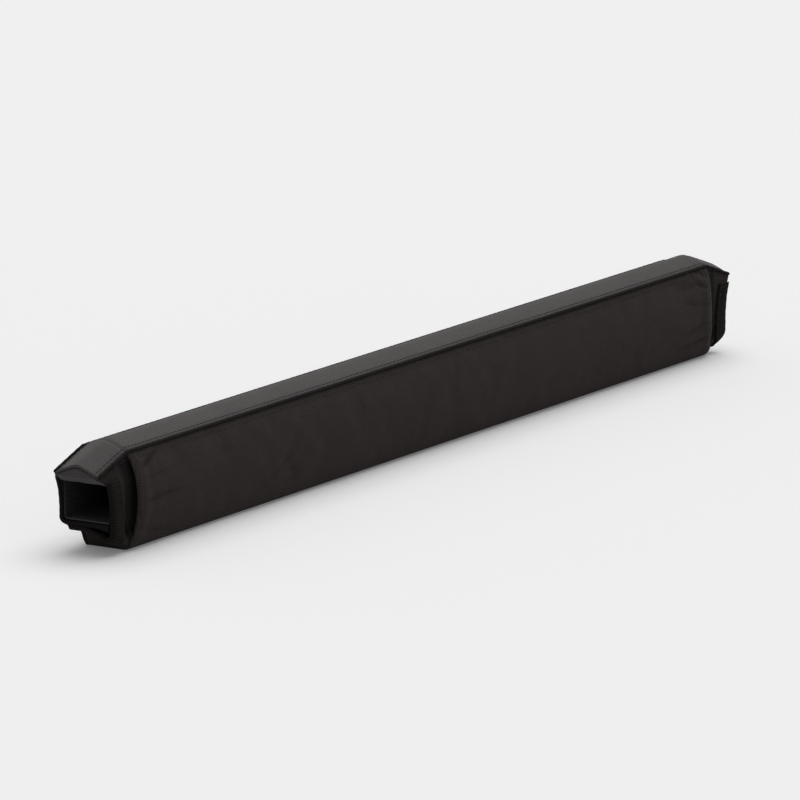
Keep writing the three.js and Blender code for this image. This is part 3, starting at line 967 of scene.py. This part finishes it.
def nose_facing(end):
    grid = np.stack(
        [
            np.stack(np.broadcast_arrays(x, end * (STRAIGHT_HALF + station), z), axis=1)
            for x, station, z in facing_rows(np.linspace(-1, 1, 25))
        ]
    )
    if end > 0:
        grid = grid[:, ::-1]
    step = np.linalg.norm(np.diff(grid[:, 12], axis=0), axis=1)
    along = np.concatenate([[0], np.cumsum(step)])[:, None]
    gather = np.sin(grid[..., 0] * 1.3 + 2) * bell(along - 1, 2.5) + np.sin(grid[..., 0] * 0.45)
    grid = grid + grid_normals(grid) * 0.12 * gather[..., None]
    place = np.stack(np.broadcast_arrays(grid[..., 0], along, 0.0), axis=2)
    # Painted shade: a dark line where the facing meets the hem of the top panel.
    shade = 0.25 * bell(along, 0.6) + 0 * grid[..., 0]
    title = "near" if end < 0 else "far"
    piece = cloth_piece(f"{title}_nose_cloth", grid, place, FABRIC, top_cloth, shade)
    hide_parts(f"{title}_nose_facing")


nose_facing(-1)
nose_facing(1)

# %% [markdown]
# The raw edge of each mouth is closed in grosgrain tape, folded over it and sewn down. Its section
# is a thin flat ring that is swept along the mouth: 12 mm on the outside, round the edge, and a
# short way back inside.

# %% Mouth bindings
TAPE_START, TAPE_SPACING = 0.165, 1.1
TAPE_OUTSIDE = [(-12.0, 0.1), (-11.9, 1.0), (-11.2, 1.5), (-9.6, 1.5), (-7.0, 1.8), (-4.0, 2.0)]
TAPE_EDGE = [(-1.6, 2.0), (-0.5, 1.8), (0.5, 1.3), (0.95, 0.5), (1.05, -0.2), (0.8, -0.95)]
TAPE_INSIDE = [(0.1, -1.15), (-0.7, -1.15), (-0.8, -1.0), (-0.6, -0.92), (-0.1, -0.6)]
TAPE_BACK = [(-0.05, 0.05), (-3.0, 0.08), (-8.0, 0.05)]
TAPE_SECTION = TAPE_OUTSIDE + TAPE_EDGE + TAPE_INSIDE + TAPE_BACK


def mouth_points(cover, u, end, offset, lift):
    """Points of the plain cover near a mouth: offset in mm from its edge, lift above the cloth."""
    edge = mouth_edge(u)
    station = edge + np.minimum(offset, 0)
    x, z = cover_section(cover, u, station)
    x1, z1 = cover_section(cover, np.maximum(u - 0.004, TAPE_START), station)
    x2, z2 = cover_section(cover, np.minimum(u + 0.004, 1), station)
    run = np.hypot(x2 - x1, z2 - z1)
    nx, nz = -(z2 - z1) / run, (x2 - x1) / run
    x, z = x + nx * lift, z + nz * lift
    station = station + np.maximum(offset, 0)
    return np.stack([cover["side"] * x, end * (STRAIGHT_HALF + station), z], axis=-1)


def mouth_steps(cover):
    u = np.linspace(TAPE_START + 0.005, 1, 1500)
    x, z = hug_section(cover, u, mouth_edge(u))
    length = np.concatenate([[0], np.cumsum(np.hypot(np.diff(x), np.diff(z)))])
    wanted = np.linspace(0, length[-1], int(length[-1] / TAPE_SPACING) + 1)
    return np.interp(wanted, length, u), wanted


def mouth_tape(title, cover, end):
    u, along = mouth_steps(cover)
    gather = 0.07 * np.sin(2 * math.pi * along / 5.1) + 0.06 * np.sin(2 * math.pi * along / 13 + 1)
    rings = np.stack(
        [
            mouth_points(cover, u, end, offset + 0 * u, lift + gather * (lift > 0.5))
            for offset, lift in TAPE_SECTION
        ]
    )
    if cover["side"] * end > 0:
        rings = rings[::-1]
    points, faces = swept(rings)
    offsets = np.repeat([offset for offset, lift in TAPE_SECTION], len(along))
    place = np.stack([np.tile(along, len(rings)), offsets, 0 * offsets], axis=1)
    piece = new_piece(f"{title}_mouth_tape", points, faces, place, grosgrain)
    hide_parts(f"{title}_binding")


for name, end in (("near", -1), ("far", 1)):
    mouth_tape(f"{name}_front", FRONT, end)
    mouth_tape(f"{name}_rear", REAR, end)

# %% [markdown]
# The free edge of the front flap is bound in the same tape, round the full thickness of its
# padding. Past the padding the two layers of cloth lie close, and the tape narrows and rises
# with them to the mouth.

# %% Flap edge binding
THICK_TURN, THIN_TURN = 4.35, 1.5


def flap_tape():
    tail = np.linspace(-PADDING_SHORT, MOUTH_SIDE - 1, 14)
    end = np.concatenate([[-PADDING_SHORT - 4], tail]) + STRAIGHT_HALF
    middle = np.arange(-(STRAIGHT_HALF - 16), STRAIGHT_HALF - 15, 3.1)
    y = np.concatenate([-end[::-1], middle, end])
    station = np.abs(y) - STRAIGHT_HALF
    thin = ease((station + PADDING_SHORT) / 9)
    low = cover_section(FRONT, np.full(y.shape, 0.95), station)[1]
    outer = mix(THICK_TURN, THIN_TURN, thin)
    inner = outer - BINDING
    middle_z = low + outer - SEAT * thin
    turn_x = FRONT["edge"] - 0.8
    lip_x = turn_x + 0.6 + 0 * y
    angle = np.linspace(-math.pi / 2, -3 * math.pi / 2, 13)
    rings = [(lip_x, middle_z - inner), (lip_x, middle_z - outer)]
    rings += [(turn_x + outer * math.cos(a), middle_z + outer * math.sin(a)) for a in angle]
    rings += [(lip_x, middle_z + outer), (lip_x, middle_z + inner)]
    rings += [(turn_x + inner * math.cos(a), middle_z + inner * math.sin(a)) for a in angle[::-1]]
    gather = 0.07 * np.sin(2 * math.pi * y / 5.3)
    grid = np.stack([np.stack([x + gather, y, np.maximum(z, 0)], axis=1) for x, z in rings])
    points, faces = swept(grid)
    piece = new_piece("flap_tape", points, faces, ring_place(grid), grosgrain)
    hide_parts("flap_edge_binding")


flap_tape()

# %% [markdown]
# The foam core sits on the lining and gives the cover its shape. Foam that is cut with a hot
# wire has slightly melted, rounded edges, so the ring of its section bulges a little and the
# ring narrows and rises towards both tips.

# %% Foam core
def foam_core():
    corner = SEAM_SPREAD - WELT_ROOM
    foot = HUG_HALF - FABRIC - 3 * SEAT
    roof_depth = (FABRIC + SEAT) / math.cos(math.atan(ROOF_SLOPE)) + 0.6
    under_depth = (FABRIC + SEAT) / math.cos(math.atan(UNDERSIDE_SLOPE)) + SEAT
    tip = NOSE_LENGTH - FABRIC - SEAT - 1
    end = np.linspace(-30, tip, 40) + STRAIGHT_HALF
    y = np.concatenate([-end[::-1], MIDDLE[1:-1], end])
    station = np.abs(y) - STRAIGHT_HALF
    floor = np.maximum(CHANNEL_TOP + LINER + SEAT, nose_underside(station) + under_depth)
    wide = foot - (foot - corner) * clamp((station - MOUTH_TOP) / (tip - MOUTH_TOP))
    shoulder = roof(corner, station) - roof_depth
    flank = []
    for t in (0.12, 0.35, 0.6, 0.85, 0.97):
        bulge = 0.35 * math.sin(math.pi * t)
        flank.append((mix(corner, wide, t) + bulge, mix(shoulder, floor, t)))
    rows = [(x + 0 * y, roof(x, station) - roof_depth) for x in np.linspace(-corner, corner, 13)]
    rows += flank
    rows += [((wide - 0.6) * x, floor + 0.25 * (abs(x) == 1)) for x in np.linspace(1, -1, 9)]
    rows += [(-x, z) for x, z in reversed(flank)]
    rings = np.stack([np.stack([x, y, z], axis=1) for x, z in rows])[::-1]
    points, faces = swept(rings)
    piece = new_piece("core_foam", points, faces, points, foam_cells, sharp=40)
    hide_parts("foam_core")


foam_core()

# %% [markdown]
# The padding of each side is one sheet of foam, skived thin where it meets the core and bent in
# below the channel, where it pads the flap. Its corners and its cut ends are rounded.

# %% Side padding
LEAST_PADDING, FLAP_PADDING = 0.6, 6.6


def rounded(outline, radius, count):
    """A closed outline in x and z with each sharp corner turned on a small arc."""
    made = []
    for i, point in enumerate(outline):
        before, after = outline[i - 1], outline[(i + 1) % len(outline)]
        a, b = before - point, after - point
        size = min(radius, 0.3 * np.linalg.norm(a), 0.3 * np.linalg.norm(b))
        a, b = point + a / np.linalg.norm(a) * size, point + b / np.linalg.norm(b) * size
        for t in np.linspace(0, 1, count):
            made.append((1 - t) ** 2 * a + 2 * t * (1 - t) * point + t**2 * b)
    return np.array(made)


def side_padding(title, cover):
    u = np.concatenate([np.linspace(0.1, FLAP_AT, 26), [0.86, 0.93, 0.985]])
    x, z = full_section(cover, u)
    dx, dz = np.gradient(x), np.gradient(z)
    run = np.hypot(dx, dz)
    depth = FABRIC + SEAT + 0.4
    outer = np.stack([x + dz / run * depth, z - dx / run * depth], axis=1)
    keep = outer[:, 0] > LINER_HALF + SEAT + LEAST_PADDING
    keep[12:] = True
    outer = outer[keep]
    edge_x, inner_x = cover["edge"] + 1.4, LINER_HALF + SEAT + 0.2
    flap_top = cover["base"] + FABRIC + SEAT + FLAP_PADDING
    top = outer[0, 1] + 0.4
    inner = [(mix(edge_x, inner_x, t), flap_top) for t in (0, 0.25, 0.5, 0.75, 1)]
    inner += [(inner_x, mix(flap_top, top, t)) for t in (0.25, 0.5, 0.75, 1)]
    outline = rounded(np.concatenate([outer, inner]), 1.2, 3)
    middle_x, middle_z = outline.mean(axis=0)
    half = STRAIGHT_HALF - PADDING_SHORT
    cut = half - np.array([1.5, 0.5, 0])
    y = np.concatenate([-cut[::-1], np.arange(-half + 4, half - 3, 7), cut])
    shrink = 1 - 0.03 * bell(half - np.abs(y), 0.9)
    rings = []
    for x, z in outline:
        x, z = middle_x + (x - middle_x) * shrink, middle_z + (z - middle_z) * shrink
        rings.append(np.stack([cover["side"] * x, y, z], axis=1))
    rings = np.stack(rings)
    if cover["side"] > 0:
        rings = rings[::-1]
    points, faces = swept(rings)
    piece = new_piece(f"{title}_padding", points, faces, points, foam_cells, sharp=40)
    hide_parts(f"{title}_side_pad")


side_padding("front", FRONT)
side_padding("rear", REAR)

# %% [markdown]
# The lining bends round all four sides of the channel, and its two lips end side by side at a
# lower corner. It is a thin strip of even thickness, so it is drawn as a path in x and z with
# its rounded corners, then given its depth.

# %% Channel lining
def lining_path():
    x, low, high, bend = CHANNEL_HALF + LINER, CHANNEL_FLOOR - LINER, CHANNEL_TOP + LINER, 2.0
    turn = np.radians(np.linspace(0, 90, 7))
    path = [(x, z) for z in np.linspace(low + bend, high - bend, 12)]
    path += [(x - bend + bend * np.cos(a), high - bend + bend * np.sin(a)) for a in turn[1:]]
    path += [(t, high) for t in np.linspace(x - bend, bend - x, 16)[1:]]
    path += [(bend - x - bend * np.sin(a), high - bend + bend * np.cos(a)) for a in turn[1:]]
    path += [(-x, z) for z in np.linspace(high - bend, low + bend, 12)[1:]]
    path += [(bend - x - bend * np.cos(a), low + bend - bend * np.sin(a)) for a in turn[1:]]
    path += [(t, low) for t in np.linspace(bend - x, x - bend, 16)[1:]]
    return np.array(path)


def channel_lining():
    path = lining_path()
    half = STRAIGHT_HALF + MOUTH_SIDE - 1
    y = np.linspace(-half, half, 120)
    rows = [np.stack(np.broadcast_arrays(x, y, z), axis=1) for x, z in path]
    grid = np.stack(rows)[:, ::-1]
    step = np.hypot(*np.diff(path, axis=0).T)
    along = np.concatenate([[0], np.cumsum(step)])
    place = np.stack(np.broadcast_arrays(grid[..., 1], along[:, None], 0.0), axis=2)
    piece = cloth_piece("bar_lining", grid, place, LINER, grip_rubber)
    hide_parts("channel_liner")


channel_lining()

# %% [markdown]
# The closure: a strip of hooks on the front flap and a strip of loops on the rear one. Each has
# a thin plain selvedge along both edges, where it is sewn, and a raised field between them.

# %% Hook and loop strips
HALF_STRIP = [(0.8, 1), (0.84, 0.95), (0.86, 0.42), (1, 0.4), (1, 0)]
STRIP = [(-x, t) for x, t in reversed(HALF_STRIP)] + [(0, 1)] + HALF_STRIP + [(0, 0)]


def closure(title, node, field_up, material):
    low, high = node_box(node)
    half, thick = (high[0] - low[0]) / 2, high[2] - low[2]
    y = np.linspace(low[1], high[1], 140)
    rings = []
    for x, t in STRIP:
        level = low[2] + thick * t if field_up else high[2] - thick * t
        ripple = abs(0.06 * np.sin(y / 4.1 + 3 * x)) * (t >= 0.95)
        level = level - ripple if field_up else level + ripple
        rings.append(np.stack([x * half + 0 * y, y, level], axis=1))
    rings = np.stack(rings)
    if not field_up:
        rings = rings[::-1]
    points, faces = swept(rings)
    piece = new_piece(title, points, faces, points[:, [1, 0, 2]], material, sharp=35)
    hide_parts(node)


closure("hook_strip", "hook_tape", True, hook_field)
closure("loop_strip", "loop_tape", False, loop_field)

# %% [markdown]
# Stitches are real bodies: short, round-ended bits of thread that dip into the cloth at both ends.
# A lockstitch of 3.2 mm with a small gap is usual for heavy covers. A row runs on both sides of
# each welt, and one along the inner edge of each mouth binding.

# %% Stitches
STITCH, STITCH_GAP, THREAD = 3.2, 0.8, 0.3
SIDES = 6
END, NECK, TOP = (0.35, -0.28), (0.85, 0.0), (1.0, 0.16)
STITCH_SHAPE = [(0.0, *END), (0.12, *NECK), (0.5, *TOP), (0.88, *NECK), (1.0, *END)]


def stitch_row(line, normals):
    """Stitches along a line of points, as points and faces."""
    step = np.linalg.norm(np.diff(line, axis=0), axis=1)
    length = np.concatenate([[0], np.cumsum(step)])
    starts = np.arange(1.0, length[-1] - STITCH - 1, STITCH + STITCH_GAP)
    angle = np.linspace(0, 2 * math.pi, SIDES + 1)[:-1]
    points, faces, places = [], [], []
    for start in starts:
        first = len(points)
        for t, size, lift in STITCH_SHAPE:
            at = start + STITCH * t
            centre = np.array([np.interp(at, length, line[:, i]) for i in range(3)])
            up = np.array([np.interp(at, length, normals[:, i]) for i in range(3)])
            ahead = np.array([np.interp(at + 0.3, length, line[:, i]) for i in range(3)])
            along = (ahead - centre) / np.linalg.norm(ahead - centre)
            up = up - along * np.dot(up, along)
            up = up / np.linalg.norm(up)
            side = np.cross(along, up)
            for a in angle:
                out = THREAD * size * (up * math.sin(a) + side * math.cos(a))
                points.append(centre + up * lift + out)
                places.append((at, THREAD * a, 0))
        last = len(points) - SIDES
        for r in range(first, last, SIDES):
            for k in range(SIDES):
                n = (k + 1) % SIDES
                faces.append([r + k, r + SIDES + k, r + SIDES + n, r + n])
        faces.append(list(range(first, first + SIDES)))
        faces.append(list(range(last + SIDES - 1, last - 1, -1)))
    return points, faces, places


def stitches(name, rows):
    """All the rows of one piece in one mesh."""
    points, faces, places = [], [], []
    for line, normals in rows:
        more, quads, where = stitch_row(line, normals)
        faces += [[i + len(points) for i in f] for f in quads]
        points += more
        places += where
    new_piece(name, points, faces, places, sewing_thread, sharp=80)


top_normals = grid_normals(top_surface)
rows = [(top_surface[i, 4:-4], top_normals[i, 4:-4]) for i in (3, -4)]
stitches("top_stitches", rows)
for title in ("front", "rear"):
    surface = side_grids[title]
    normals = grid_normals(surface)
    stitches(f"{title}_stitches", [(surface[3, 3:-3], normals[3, 3:-3])])


TAPE_SEAM, TAPE_HEIGHT = -10.2, 1.5


def tape_line(cover, end):
    u = mouth_steps(cover)[0][1:-1]
    line = mouth_points(cover, u, end, TAPE_SEAM + 0 * u, TAPE_HEIGHT)
    above = mouth_points(cover, u, end, TAPE_SEAM + 0 * u, TAPE_HEIGHT + 1)
    return line, above - line


rows = [tape_line(cover, end) for cover in (FRONT, REAR) for end in (-1, 1)]
stitches("tape_stitches", rows)

# %% [markdown]
# A pale floor under the pad and a white world behind it. The world is white for the camera and for
# reflections, and a soft grey for the light that it gives, so the background never has to be
# lit. One wide lamp from above gives the cloth its tones and the floor its soft shadow. A weak
# one from the front and a third from behind keep the sides readable. A sun lamp of a wide angle
# is as soft as a big studio lamp, and it lights the floor evenly out to its far edge.

# %% Floor, world and lamps
FLOOR_LEVEL, FLOOR_HALF = -0.0003, 40
FLOOR_SHADED, FLOOR_SEEN, FLOOR_GLOW = "bcbcbc", "f4f4f4", 0.12
WORLD_LIGHT = 0.18


def seen_directly(tree):
    """1 for the camera and for reflections, and 0 for the light that falls on things."""
    path = add_node(tree, "ShaderNodeLightPath")
    both = {0: path.outputs["Is Camera Ray"], 1: path.outputs["Is Glossy Ray"]}
    return add_node(tree, "ShaderNodeMath", both, operation="MAXIMUM").outputs[0]


floor_mesh = bpy.data.meshes.new("floor")
floor_corners = [
    (FLOOR_HALF * x, FLOOR_HALF * y, FLOOR_LEVEL) for x, y in ((-1, -1), (1, -1), (1, 1), (-1, 1))
]
floor_mesh.from_pydata(floor_corners, [], [(0, 1, 2, 3)])
floor = bpy.data.objects.new("floor", floor_mesh)
bpy.context.scene.collection.objects.link(floor)
floor_paint, floor_tree, floor_shader = new_material("pale_floor")
direct = seen_directly(floor_tree)
paint = add_node(
    floor_tree,
    "ShaderNodeMix",
    {"Factor": direct, "A": linear(FLOOR_SHADED), "B": linear(FLOOR_SEEN)},
    data_type="RGBA",
)
glow = add_node(floor_tree, "ShaderNodeMath", {0: direct, 1: FLOOR_GLOW}, operation="MULTIPLY")
feed(
    floor_tree,
    floor_shader,
    {
        "Base Color": paint.outputs[2],
        "Roughness": 0.9,
        "Emission Color": (1, 1, 1, 1),
        "Emission Strength": glow.outputs[0],
    },
)
floor_mesh.materials.append(floor_paint)

world = bpy.data.worlds.new("studio")
world.use_nodes = True
bpy.context.scene.world = world
sky = world.node_tree
sky.nodes.clear()
dim, white = (
    add_node(sky, "ShaderNodeBackground", {"Color": (1, 1, 1, 1), "Strength": strength})
    for strength in (WORLD_LIGHT, 1.0)
)
either = {0: seen_directly(sky), 1: dim.outputs[0], 2: white.outputs[0]}
both = add_node(sky, "ShaderNodeMixShader", either)
add_node(sky, "ShaderNodeOutputWorld", {"Surface": both.outputs[0]})


def lamp(name, place, spread, strength):
    data = bpy.data.lights.new(name, "SUN")
    data.angle = math.radians(spread)
    data.energy = strength
    made = bpy.data.objects.new(name, data)
    bpy.context.scene.collection.objects.link(made)
    made.location = place
    made.rotation_mode = "QUATERNION"
    made.rotation_quaternion = (-made.location).to_track_quat("-Z", "Y")


lamp("overhead", (-0.1, 0.7, 2.1), 65, 1.9)
lamp("front_fill", (2.6, -1.6, 1.1), 60, 0.08)
lamp("rear_fill", (-2.6, 1.4, 0.9), 60, 0.25)

bpy.context.scene.view_settings.view_transform = "Standard"
